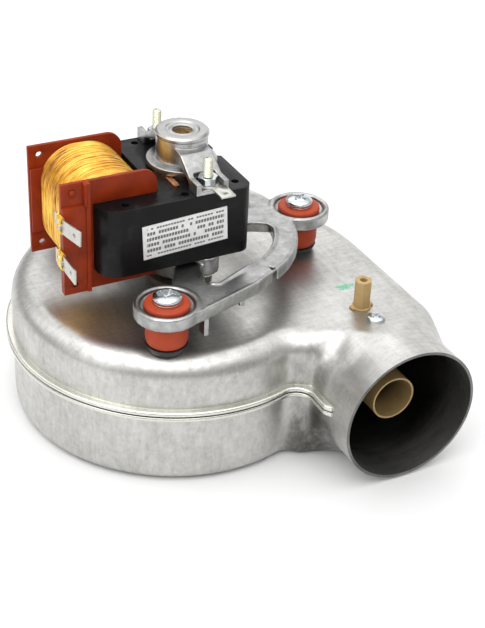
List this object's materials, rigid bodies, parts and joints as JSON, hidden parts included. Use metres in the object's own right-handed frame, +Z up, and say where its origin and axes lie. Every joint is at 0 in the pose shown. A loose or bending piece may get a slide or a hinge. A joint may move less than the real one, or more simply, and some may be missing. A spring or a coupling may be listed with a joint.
{
  "type": "boiler flue fan",
  "caption": "Centrifugal flue-gas fan for a gas boiler: sheet scroll casing with round side outlet, shaded-pole motor on rubber isolators, pressure take-off nipple.",
  "frame": {"origin": "on the motor shaft axis, in the plane of the casing bottom, at the inlet mouth", "axes": "+Z up along the motor shaft, away from the inlet; -Y out of the outlet; +X towards the outlet side of the scroll"},
  "size_m": [0.1645, 0.1782, 0.1257],
  "materials": {
    "casing_sheet": "satin zinc-coated sheet",
    "tan_plastic": "moulded heat-proof plastic, satin",
    "bright_zinc": "bright zinc plate",
    "seal_board": "matt graphite seal board",
    "black_seat": "satin black",
    "silicone": "orange-red silicone, slight sheen",
    "die_cast": "as cast, tumbled",
    "bronze": "sintered bronze",
    "black_stack": "black lacquer over laminations",
    "bare_core": "bare laminations",
    "copper": "bare copper",
    "label": "silver-white foil label",
    "bobbin_plastic": "red-brown moulding, slightly glossy",
    "enamel_wire": "golden enamelled copper wire",
    "tinned": "tinned",
    "turned_cap": "turned, fine concentric marks",
    "felt": "oil-soaked felt",
    "yellow_zinc": "pale yellow passivated zinc",
    "ground_steel": "ground",
    "rotor_iron": "turned laminations",
    "rotor_alloy": "die-cast end rings",
    "fibre": "laminated fibre",
    "wheel_sheet": "zinc-coated sheet"
  },
  "bodies": {
    "casing": {"upper_shell": "casing_sheet", "lower_shell": "casing_sheet", "pickup_tube": "tan_plastic", "pressure_nipple": "tan_plastic", "nipple_screw": "bright_zinc", "shaft_seal": "seal_board", "mount_seats": "black_seat", "bush_right": "silicone", "bush_back": "silicone", "bush_front": "silicone", "foot_washers": "bright_zinc", "foot_screws": "bright_zinc", "motor_bracket": "die_cast", "lower_bearing": "bronze", "stack_frame": "black_stack", "core_bar": "bare_core", "shading_rings": "copper", "rating_label": "label", "bobbin": "bobbin_plastic", "winding": "enamel_wire", "terminal_upper": "tinned", "terminal_lower": "tinned", "top_bridge": "die_cast", "bore_ring": "copper", "upper_bearing": "bronze", "oil_felt": "felt", "bearing_cap": "turned_cap", "motor_bolts": "yellow_zinc", "bolt_nuts": "bright_zinc", "earth_tab": "tinned"},
    "rotor": {"shaft": "ground_steel", "rotor_core": "rotor_iron", "rotor_rings": "rotor_alloy", "thrust_washers": "fibre", "wheel_hub": "wheel_sheet", "wheel_plate": "wheel_sheet", "wheel_blades": "wheel_sheet", "wheel_shroud": "wheel_sheet", "hub_rivets": "wheel_sheet", "wheel_washer": "ground_steel", "wheel_nut": "yellow_zinc"}
  },
  "joints": [
    {"name": "rotor_spin", "type": "hinge", "parent": "casing", "child": "rotor", "pos_m": [0, 0, 0.09], "axis": [0, 0, 1], "continuous": true}
  ]
}
